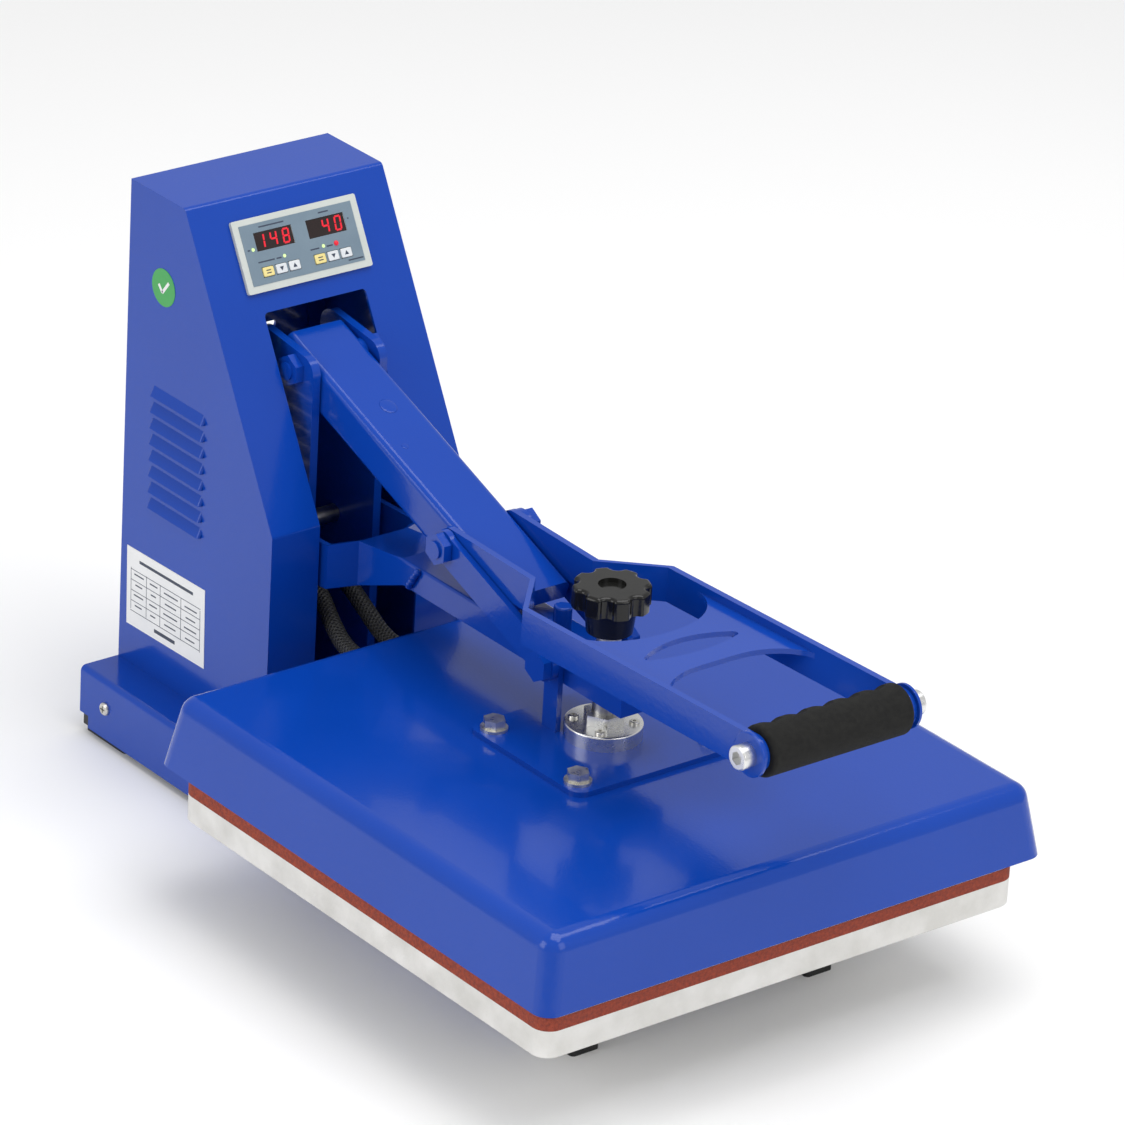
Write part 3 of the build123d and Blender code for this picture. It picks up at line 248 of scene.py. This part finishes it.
# ---- blue powder coat ----
# Every folded, welded or cast steel piece of the press is sprayed the same glossy blue and baked.
# The coat has a faint orange-peel relief and small changes in gloss.
def finish_group():
    """Mottled colour, uneven roughness and fine relief, on the piece's own coordinates."""
    group = bpy.data.node_groups.new("uneven_finish", "ShaderNodeTree")
    for name, kind in (("Colour", "NodeSocketColor"), ("Second Colour", "NodeSocketColor"),
                       ("Patch Scale", "NodeSocketFloat"), ("Patch Contrast", "NodeSocketFloat"),
                       ("Grain Scale", "NodeSocketFloat"), ("Rough Low", "NodeSocketFloat"),
                       ("Rough High", "NodeSocketFloat")):
        group.interface.new_socket(name, in_out="INPUT", socket_type=kind)
    for name, kind in (("Colour", "NodeSocketColor"), ("Roughness", "NodeSocketFloat"),
                       ("Height", "NodeSocketFloat")):
        group.interface.new_socket(name, in_out="OUTPUT", socket_type=kind)
    nodes, links = group.nodes, group.links
    given, made = nodes.new("NodeGroupInput"), nodes.new("NodeGroupOutput")
    place = nodes.new("ShaderNodeTexCoord")
    patches = nodes.new("ShaderNodeTexNoise")
    patches.inputs["Detail"].default_value = 5.0
    links.new(place.outputs["Object"], patches.inputs["Vector"])
    links.new(given.outputs["Patch Scale"], patches.inputs["Scale"])
    spread = nodes.new("ShaderNodeMath")
    spread.operation = "SUBTRACT"
    spread.inputs[1].default_value = 0.5
    links.new(patches.outputs["Fac"], spread.inputs[0])
    gain = nodes.new("ShaderNodeMath")
    gain.operation = "MULTIPLY_ADD"
    gain.inputs[2].default_value = 0.5
    gain.use_clamp = True
    links.new(spread.outputs[0], gain.inputs[0])
    links.new(given.outputs["Patch Contrast"], gain.inputs[1])
    tint = nodes.new("ShaderNodeMix")
    tint.data_type = "RGBA"
    links.new(gain.outputs[0], tint.inputs["Factor"])
    links.new(given.outputs["Colour"], tint.inputs["A"])
    links.new(given.outputs["Second Colour"], tint.inputs["B"])
    links.new(tint.outputs["Result"], made.inputs["Colour"])
    rough = nodes.new("ShaderNodeMix")
    links.new(gain.outputs[0], rough.inputs["Factor"])
    links.new(given.outputs["Rough Low"], rough.inputs["A"])
    links.new(given.outputs["Rough High"], rough.inputs["B"])
    links.new(rough.outputs["Result"], made.inputs["Roughness"])
    grain = nodes.new("ShaderNodeTexNoise")
    grain.inputs["Detail"].default_value = 3.0
    links.new(place.outputs["Object"], grain.inputs["Vector"])
    links.new(given.outputs["Grain Scale"], grain.inputs["Scale"])
    links.new(grain.outputs["Fac"], made.inputs["Height"])
    return group


def uneven(name, colour, second, patch=12.0, contrast=2.0, grain=900.0, rough=(0.3, 0.45), bump=0.0002,
           metallic=0.0):
    """A material with the uneven finish, its shader and its finish; bump is in metres."""
    material, tree, shader = new_material(name, sum(rough) / 2, metallic)
    node = tree.nodes.new("ShaderNodeGroup")
    node.node_tree = bpy.data.node_groups.get("uneven_finish") or finish_group()
    for socket, value in (("Colour", (*colour, 1)), ("Second Colour", (*second, 1)), ("Patch Scale", patch),
                          ("Patch Contrast", contrast), ("Grain Scale", grain), ("Rough Low", rough[0]),
                          ("Rough High", rough[1])):
        node.inputs[socket].default_value = value
    tree.links.new(node.outputs["Colour"], shader.inputs["Base Color"])
    tree.links.new(node.outputs["Roughness"], shader.inputs["Roughness"])
    relief = tree.nodes.new("ShaderNodeBump")
    relief.inputs["Distance"].default_value = bump
    tree.links.new(node.outputs["Height"], relief.inputs["Height"])
    tree.links.new(relief.outputs["Normal"], shader.inputs["Normal"])
    return material, shader, node


blue, blue_shader, _ = uneven(
    "blue_powder_coat", (0.002, 0.045, 0.34), (0.003, 0.052, 0.38), patch=7.0, contrast=1.5, grain=420.0,
    rough=(0.12, 0.18), bump=0.00008)
blue_shader.inputs["Specular IOR Level"].default_value = 0.26
blue_shader.inputs["Coat Weight"].default_value = 0.22
blue_shader.inputs["Coat Roughness"].default_value = 0.06
blue_nodes = ["base_deck", "tower_shell", "tower_back_panel", "upright_left", "upright_right",
              "beam_pivot_bolt",
              "heater_arm", "arm_legs", "stop_stud", "heater_cover", "mount_plate", "toggle_beam",
              "handle_rail_left", "handle_rail_right", "handle_cross_plate", "grip_end_caps",
              "toggle_pivot_bolt", "link_left", "link_right", "link_pivot_bolts"]


def paint(names, material):
    """Gives CAD nodes one material over their whole surface."""
    for name in names:
        slots = frame["nodes"][name].data.materials
        slots.clear()
        slots.append(material)


paint(blue_nodes, blue)


# ---- metal pieces ----
# The platens are cast aluminium with milled faces, the fasteners zinc plated or stainless steel.
# Cast faces are cloudy, turned and plated ones are brighter and smoother.
cast, _, _ = uneven(
    "cast_aluminium", (0.62, 0.61, 0.58), (0.78, 0.77, 0.75), patch=38.0, contrast=3.0, grain=500.0,
    rough=(0.38, 0.6), bump=0.0003, metallic=0.75)
paint(["lower_platen", "heating_platen"], cast)
plated, _, _ = uneven(
    "zinc_plate", (0.55, 0.54, 0.5), (0.75, 0.73, 0.68), patch=160.0, contrast=2.5, grain=2500.0,
    rough=(0.22, 0.4), bump=0.00005, metallic=1.0)
paint(["base_screws", "base_bolts", "back_panel_screws", "mount_bolts", "flange_screws"], plated)
bright, _, _ = uneven(
    "polished_steel", (0.68, 0.68, 0.67), (0.82, 0.82, 0.81), patch=90.0, contrast=1.5, grain=3000.0,
    rough=(0.2, 0.34), bump=0.00003, metallic=1.0)
paint(["swivel_flange", "grip_end_bolts"], bright)
steel, _, _ = uneven(
    "turned_steel", (0.32, 0.32, 0.32), (0.48, 0.47, 0.45), patch=120.0, contrast=2.0, grain=2200.0,
    rough=(0.28, 0.42), bump=0.00006, metallic=1.0)
paint(["pressure_screw", "pressure_nut", "arm_pivot_bolt", "heater_standoffs", "grip_tube"], steel)
bronze, _, _ = uneven(
    "sintered_bronze", (0.42, 0.24, 0.09), (0.55, 0.33, 0.13), patch=200.0, contrast=2.0, grain=4000.0,
    rough=(0.35, 0.5), bump=0.00008, metallic=1.0)
paint(["arm_bushes"], bronze)


# ---- plastics, rubber and paint in black ----
# Relay, inlet, switch and glands are moulded; the rails are painted; the feet are rubber.
# The knob is polished phenolic, so it is the only really shiny black piece.
moulded, _, _ = uneven(
    "moulded_black", (0.012, 0.012, 0.013), (0.02, 0.02, 0.021), patch=60.0, contrast=1.5, grain=1800.0,
    rough=(0.42, 0.55), bump=0.00008)
paint(["power_relay", "power_inlet", "switch_frame", "fuse_holder", "cable_glands", "base_rails",
       "platen_crossbars"], moulded)
rubber, _, _ = uneven(
    "black_rubber", (0.01, 0.01, 0.01), (0.02, 0.02, 0.02), patch=50.0, contrast=2.0, grain=900.0,
    rough=(0.7, 0.85), bump=0.0003)
paint(["foot_pads"], rubber)
phenolic, phenolic_shader, _ = uneven(
    "polished_phenolic", (0.006, 0.006, 0.006), (0.012, 0.012, 0.011), patch=40.0, contrast=1.5, grain=300.0,
    rough=(0.1, 0.18), bump=0.00005)
phenolic_shader.inputs["Specular IOR Level"].default_value = 0.35
paint(["pressure_knob", "power_switch"], phenolic)


# ---- silicone pad ----
# A brick-red sponge sheet lies on the lower platen.
# It is cut from a roll, and its edge shows fine open cells.
sponge, _, _ = uneven(
    "silicone_sponge", (0.24, 0.035, 0.018), (0.4, 0.07, 0.035), patch=420.0, contrast=3.5, grain=1400.0,
    rough=(0.75, 0.95), bump=0.0012)
paint(["silicone_pad"], sponge)


# ---- inside the heater ----
# A soft white blanket of ceramic fibre lies between the heating platen and its cover.
# It is cut to fit and only pressed down by the cover.
wool, _, _ = uneven(
    "ceramic_wool", (0.62, 0.6, 0.54), (0.8, 0.78, 0.72), patch=90.0, contrast=3.0, grain=700.0,
    rough=(0.9, 1.0), bump=0.002)
paint(["insulation_blanket"], wool)


# ---- foam grip ----
# A thick tube of black closed-cell foam with finger waves.
# It is pushed over the steel tube and held by friction.
foam, foam_shader, _ = uneven(
    "closed_cell_foam", (0.008, 0.008, 0.008), (0.018, 0.018, 0.017), patch=260.0, contrast=3.0, grain=2600.0,
    rough=(0.82, 0.95), bump=0.0006)
foam_shader.inputs["Specular IOR Level"].default_value = 0.25
paint(["foam_grip"], foam)


# ---- control panel ----
# A white bezel holds a blue-grey printed membrane, two red tinted windows, six keys and four lamps.
# The printing is plain bars and arrows.
bezel, _, _ = uneven(
    "bezel_white", (0.5, 0.53, 0.5), (0.56, 0.59, 0.56), patch=60.0, contrast=1.5, grain=1500.0,
    rough=(0.4, 0.5), bump=0.00006)
paint(["control_panel"], bezel)
board, _, _ = uneven(
    "board_green", (0.01, 0.09, 0.03), (0.015, 0.13, 0.05), patch=150.0, contrast=2.0, grain=900.0,
    rough=(0.35, 0.5), bump=0.00008)
paint(["controller_board"], board)
window, _, _ = uneven(
    "tinted_window", (0.012, 0.006, 0.006), (0.02, 0.008, 0.008), patch=80.0, contrast=1.5, grain=600.0,
    rough=(0.12, 0.2), bump=0.00002)
paint(["display_windows"], window)
yellow_key, _, _ = uneven(
    "yellow_key", (0.72, 0.6, 0.22), (0.8, 0.68, 0.28), patch=150.0, contrast=1.5, grain=1500.0,
    rough=(0.45, 0.55), bump=0.00005)
white_key, _, _ = uneven(
    "white_key", (0.6, 0.63, 0.65), (0.68, 0.7, 0.72), patch=150.0, contrast=1.5, grain=1500.0,
    rough=(0.45, 0.55), bump=0.00005)
for screen in ("temperature", "time"):
    paint([screen + "_set_button"], yellow_key)
    paint([screen + "_down_button", screen + "_up_button"], white_key)

membrane, _, _ = uneven(
    "membrane_grey", (0.14, 0.2, 0.255), (0.165, 0.23, 0.285), patch=60.0, contrast=1.5, grain=900.0,
    rough=(0.35, 0.45), bump=0.00004)
ink, _, _ = uneven(
    "printed_ink", (0.02, 0.03, 0.06), (0.03, 0.045, 0.08), patch=300.0, contrast=1.5, grain=900.0,
    rough=(0.4, 0.5), bump=0.00002)


def glowing(name, colour, strength):
    """A lit surface with a little unevenness across it."""
    dimmer = tuple(0.7 * channel for channel in colour)
    material, shader, node = uneven(name, colour, dimmer, patch=900.0, contrast=2.0, grain=900.0,
                                    rough=(0.3, 0.4), bump=0.00002)
    material.node_tree.links.new(node.outputs["Colour"], shader.inputs["Emission Color"])
    shader.inputs["Emission Strength"].default_value = strength
    return material


red_light = glowing("red_segment", (0.62, 0.004, 0.02), 0.65)
green_light = glowing("green_lamp", (0.62, 0.85, 0.35), 0.5)
paint(["indicator_leds"], green_light)


def piece_from(shape, name, material, body, smooth=False):
    """Closes a bmesh into an object that rides on a body."""
    bmesh.ops.recalc_face_normals(shape, faces=shape.faces)
    mesh = bpy.data.meshes.new(name)
    shape.to_mesh(mesh)
    shape.free()
    for polygon in mesh.polygons:
        polygon.use_smooth = smooth
    mesh.materials.append(material)
    piece = bpy.data.objects.new(name, mesh)
    bpy.context.scene.collection.objects.link(piece)
    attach(piece, body)
    return piece


panel_frame = Matrix((Vector((1, 0, 0)), panel_up, -panel_in)).transposed().to_4x4()


def panel_tile(shape, across, up, width, height, low, high, turn=0.0, lean=0.0):
    """A flat block on the panel's face, between two heights over it, in millimetres."""
    middle = on_panel(across, up, (low + high) / 2)
    size = Matrix.Diagonal((width / 1000, height / 1000, (high - low) / 1000, 1))
    slant = Matrix(((1, lean, 0, 0), (0, 1, 0, 0), (0, 0, 1, 0), (0, 0, 0, 1)))
    place = Matrix.Translation(middle) @ panel_frame @ slant @ Matrix.Rotation(turn, 4, "Z") @ size
    return bmesh.ops.create_cube(shape, size=1.0, matrix=place)["verts"]


membrane_shape = bmesh.new()
display_up, display_height, display_width = 8.1, 12.4, 30.4
display_across = (-20.2, 21.8)
key_up, key_height = -12.2, 6.8
column_edges = [-45.2]
for centre in display_across:
    column_edges += [centre - display_width / 2, centre + display_width / 2]
column_edges.append(45.0)
top_edge, bottom_edge = 20.4, -19.9
display_top = display_up + display_height / 2
display_bottom = display_up - display_height / 2
key_top, key_bottom = key_up + key_height / 2, key_up - key_height / 2
film = 0.25


def film_band(left, right, low_edge, high_edge):
    """One band of the printed film, between its edges on the panel in millimetres."""
    panel_tile(membrane_shape, (left + right) / 2, (low_edge + high_edge) / 2, right - left,
               high_edge - low_edge, 0.0, film)


film_band(column_edges[0], column_edges[-1], display_top, top_edge)
film_band(column_edges[0], column_edges[-1], key_top, display_bottom)
film_band(column_edges[0], column_edges[-1], bottom_edge, key_bottom)
for left, right in zip(column_edges[::2], column_edges[1::2]):
    film_band(left, right, display_bottom, display_top)
key_start = {"temperature": -31.1, "time": 10.7}
key_pitch, key_half = 10.5, 4.7
key_across = [start + step * key_pitch for start in key_start.values() for step in range(3)]
key_edges = [column_edges[0]]
for centre in key_across:
    key_edges += [centre - key_half, centre + key_half]
key_edges.append(column_edges[-1])
for left, right in zip(key_edges[::2], key_edges[1::2]):
    film_band(left, right, key_bottom, key_top)
piece_from(membrane_shape, "panel_membrane", membrane, "frame")

segment_shape = bmesh.new()
digit_height, digit_width, stroke = 10.2, 5.6, 1.25
digit_pitch, digit_lean = 9.9, 0.08
segment_low, segment_high = -0.49, -0.3
segment_spots = {
    "a": (0, 1, 0), "b": (1, 0.5, 1), "c": (1, -0.5, 1), "d": (0, -1, 0), "e": (-1, -0.5, 1),
    "f": (-1, 0.5, 1), "g": (0, 0, 0),
}
lit = {"0": "abcdef", "1": "bc", "4": "bcfg", "8": "abcdefg"}
for centre, text in zip(display_across, ("148", " 40")):
    for place, sign in enumerate(text):
        for segment in lit.get(sign, ""):
            x, y, standing = segment_spots[segment]
            reach = (digit_height - stroke) / 2
            length = reach - 0.5 if standing else digit_width - stroke - 0.4
            across = centre + (place - 1) * digit_pitch + x * (digit_width - stroke) / 2
            across += digit_lean * y * reach
            size = (stroke, length) if standing else (length, stroke)
            panel_tile(segment_shape, across, display_up + y * reach, *size, segment_low, segment_high,
                       lean=digit_lean)
piece_from(segment_shape, "display_segments", red_light, "frame")

print_shape = bmesh.new()
print_height, print_thickness = 0.9, 0.06
for across, up, width in ((-20, 17.4, 20), (22, 17.4, 8), (-30.5, -5.2, 13), (-20.5, -5.2, 4), (8.5, -5.2, 7),
                          (20.5, -5.2, 5), (-41.8, 3.8, 2), (39.8, 9.5, 1.2), (38, -17.6, 12)):
    panel_tile(print_shape, across, up, width, print_height, film, film + print_thickness)
piece_from(print_shape, "panel_printing", ink, "frame")


lamp_lens = bmesh.new()
lamp_place = Matrix.Translation(on_panel(25.9, -4.6, 0.2)) @ panel_frame
lamp_flattening = Matrix.Diagonal((1, 1, 0.75, 1))
bmesh.ops.create_icosphere(lamp_lens, subdivisions=3, radius=0.00175, matrix=lamp_place @ lamp_flattening)
piece_from(lamp_lens, "red_lamp_lens", red_light, "frame", smooth=True)


# ---- key symbols ----
# Each key's plastic cap carries a small printed mark, which travels with the key:
# an arrow down or up, or two bars on the yellow one.
key_proud = 0.9
arrow_radius = 0.0019
for screen, start in key_start.items():
    for step, role in enumerate(("set", "down", "up")):
        mark = bmesh.new()
        across = start + step * key_pitch
        if role == "set":
            for line in (-0.9, 0.9):
                panel_tile(mark, across, key_up + line, 3.6, 0.7, key_proud, key_proud + print_thickness)
        else:
            way = 1 if role == "up" else -1
            arrow = bmesh.ops.create_cone(mark, cap_ends=True, segments=3, radius1=arrow_radius,
                                          radius2=arrow_radius, depth=print_thickness / 1000)
            middle = on_panel(across, key_up - way * 0.3, key_proud + print_thickness / 2)
            turn = Matrix.Rotation(math.radians(0 if way > 0 else 180), 4, "Z")
            place = Matrix.Translation(middle) @ panel_frame @ turn
            bmesh.ops.transform(mark, matrix=place, verts=arrow["verts"])
        piece_from(mark, f"{screen}_{role}_mark", ink, f"{screen}_{role}_key")


# ---- labels on the tower's left wall ----
# A round green sticker near the top and a white rating plate near the foot, both stuck on.
# The plate is printed with a plain ruled table, the sticker with a tick.
wall_x = -0.0795
label_thickness, print_relief = 0.0003, 0.00005
paper, _, _ = uneven(
    "label_paper", (0.72, 0.73, 0.74), (0.8, 0.8, 0.8), patch=40.0, contrast=1.5, grain=700.0,
    rough=(0.45, 0.6), bump=0.00004)
green_film, _, _ = uneven(
    "green_sticker", (0.03, 0.3, 0.06), (0.04, 0.36, 0.08), patch=60.0, contrast=1.5, grain=900.0,
    rough=(0.3, 0.4), bump=0.00003)


def wall_point(y, z, proud=0.0):
    """A point on the left wall, with y and z in millimetres in the platen's frame."""
    return Vector((wall_x - proud, y / 1000 + shift, z / 1000))


def wall_tile(shape, y, z, width, height, proud, thick, turn=0.0):
    """A flat block on the wall, its middle, width and height in millimetres."""
    place = Matrix.Translation(wall_point(y, z, proud + thick / 2)) @ Matrix.Rotation(turn, 4, "X")
    size = Matrix.Diagonal((thick, width / 1000, height / 1000, 1))
    bmesh.ops.create_cube(shape, size=1.0, matrix=place @ size)


label_turn = math.radians(-1.5)
label_y, row_height = 367, 7.6
plate_shape = bmesh.new()
wall_tile(plate_shape, label_y, 106, 90, 57, 0.0, label_thickness, label_turn)
piece_from(plate_shape, "rating_plate", paper, "frame")
rules = bmesh.new()


def ruled(y, z, width, height):
    """One printed bar on the rating plate."""
    wall_tile(rules, y, z, width, height, label_thickness, print_relief, label_turn)


for row in range(5):
    ruled(label_y, 119 - row * row_height, 80, 0.5)
for column in (-40, -18, 6, 22, 40):
    ruled(label_y + column, 103.8, 0.5, 30.4)
ruled(label_y, 127, 62, 2.2)
ruled(label_y, 83.5, 24, 2.6)
for row in range(4):
    for column, width in ((-29, 14), (-6, 16), (14, 9), (31, 11)):
        ruled(label_y + column, 115.4 - row * row_height, width - 3 * (row % 2), 1.0)
piece_from(rules, "rating_plate_ruling", ink, "frame")
sticker_y, sticker_z, sticker_radius = 380, 332, 0.013
sticker = bmesh.new()
sticker_place = Matrix.Translation(wall_point(sticker_y, sticker_z, label_thickness / 2))
bmesh.ops.create_cone(sticker, cap_ends=True, segments=48, radius1=sticker_radius, radius2=sticker_radius,
                      depth=label_thickness, matrix=sticker_place @ Matrix.Rotation(math.pi / 2, 4, "Y"))
piece_from(sticker, "round_sticker", green_film, "frame")
tick = bmesh.new()
for y, z, length, turn in ((-3.2, -1.4, 6.5, -48), (2.4, 0.6, 11.5, 52)):
    wall_tile(tick, sticker_y - y, sticker_z + z, length, 2.2, label_thickness, 0.00006, math.radians(-turn))
piece_from(tick, "round_sticker_tick", paper, "frame")


# ---- welds ----
# Short beads and a plug weld on the beam, and a run where the arm's gusset meets its channel.
# They are steel, ground little or not at all, and painted over with the rest.
beam_low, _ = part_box("toggle_beam")
beads = bmesh.new()
nose_inset, nose_height = 0.0042, 0.2182
for across in (-0.015, -0.009, -0.002, 0.006, 0.012):
    spot = Vector((across, beam_low.y + nose_inset, nose_height))
    bmesh.ops.create_icosphere(beads, subdivisions=2, radius=0.0019, matrix=Matrix.Translation(spot))
pivot_rear = Vector(next(j["pos_m"] for j in frame["joints"] if j["name"] == "lever_hinge"))
pivot_front = Vector(next(j["pos_m"] for j in frame["joints"] if j["name"] == "link_hinge"))
along = (pivot_front - pivot_rear).normalized()
above = Vector((1, 0, 0)).cross(along)
above = above if above.z > 0 else -above
beam_turn = Matrix((Vector((1, 0, 0)), along, above)).transposed().to_4x4()
for across, reach, radius in ((0.0018, 0.0605, 0.0058), (-0.0098, 0.0972, 0.0022)):
    spot = pivot_rear + reach * along + 0.0101 * above + Vector((across, 0, 0))
    flat = Matrix.Diagonal((1, 1.15, 0.09, 1))
    place = Matrix.Translation(spot) @ beam_turn @ flat
    bmesh.ops.create_icosphere(beads, subdivisions=3, radius=radius, matrix=place)
piece_from(beads, "beam_weld_dots", blue, "lever", smooth=True)
arm_beads = bmesh.new()
blob = Vector((-0.0215, 0.175 + shift, 0.196))
for step in range(7):
    spot = blob + Vector((-0.0006 * (step % 3), 0.0013 * (step - 3), -0.0021 * step))
    radius = 0.0027 - 0.0002 * (step % 2)
    bmesh.ops.create_icosphere(arm_beads, subdivisions=2, radius=radius, matrix=Matrix.Translation(spot))
piece_from(arm_beads, "arm_weld_beads", blue, "arm", smooth=True)


# ---- floor, light and backdrop ----
# A pale, matt floor under soft light: one softbox overhead and weaker ones at the left and the front.
# The floor and the lights aren't part of the press.
floor_mesh = bmesh.new()
bmesh.ops.create_grid(floor_mesh, x_segments=1, y_segments=1, size=6.0)
floor_data = bpy.data.meshes.new("floor")
floor_mesh.to_mesh(floor_data)
floor_mesh.free()
floor = bpy.data.objects.new("floor", floor_data)
bpy.context.scene.collection.objects.link(floor)
pale, _, _ = uneven(
    "pale_floor", (0.9, 0.9, 0.9), (0.93, 0.93, 0.93), patch=1.0, contrast=1.0, grain=50.0,
    rough=(0.8, 0.9), bump=0.0)
floor_data.materials.append(pale)

world = bpy.data.worlds.new("studio")
world.use_nodes = True
world.node_tree.nodes["Background"].inputs["Color"].default_value = (1, 1, 1, 1)
world.node_tree.nodes["Background"].inputs["Strength"].default_value = 0.62
bpy.context.scene.world = world


def soft_light(name, location, target, size, watts):
    """A square softbox aimed at a point."""
    data = bpy.data.lights.new(name, "AREA")
    data.size = size
    data.energy = watts
    lamp = bpy.data.objects.new(name, data)
    bpy.context.scene.collection.objects.link(lamp)
    lamp.location = location
    lamp.rotation_mode = "QUATERNION"
    lamp.rotation_quaternion = (Vector(target) - Vector(location)).to_track_quat("-Z", "Y")


soft_light("overhead", (0.3, -0.4, 2.6), (0, 0, 0.1), 2.2, 45)
soft_light("left_fill", (-2.6, 0.6, 1.2), (0, 0, 0.2), 1.6, 22)
soft_light("front_fill", (0.6, -3.0, 1.6), (0, 0, 0.2), 1.8, 18)
bpy.context.scene.view_settings.view_transform = "Standard"
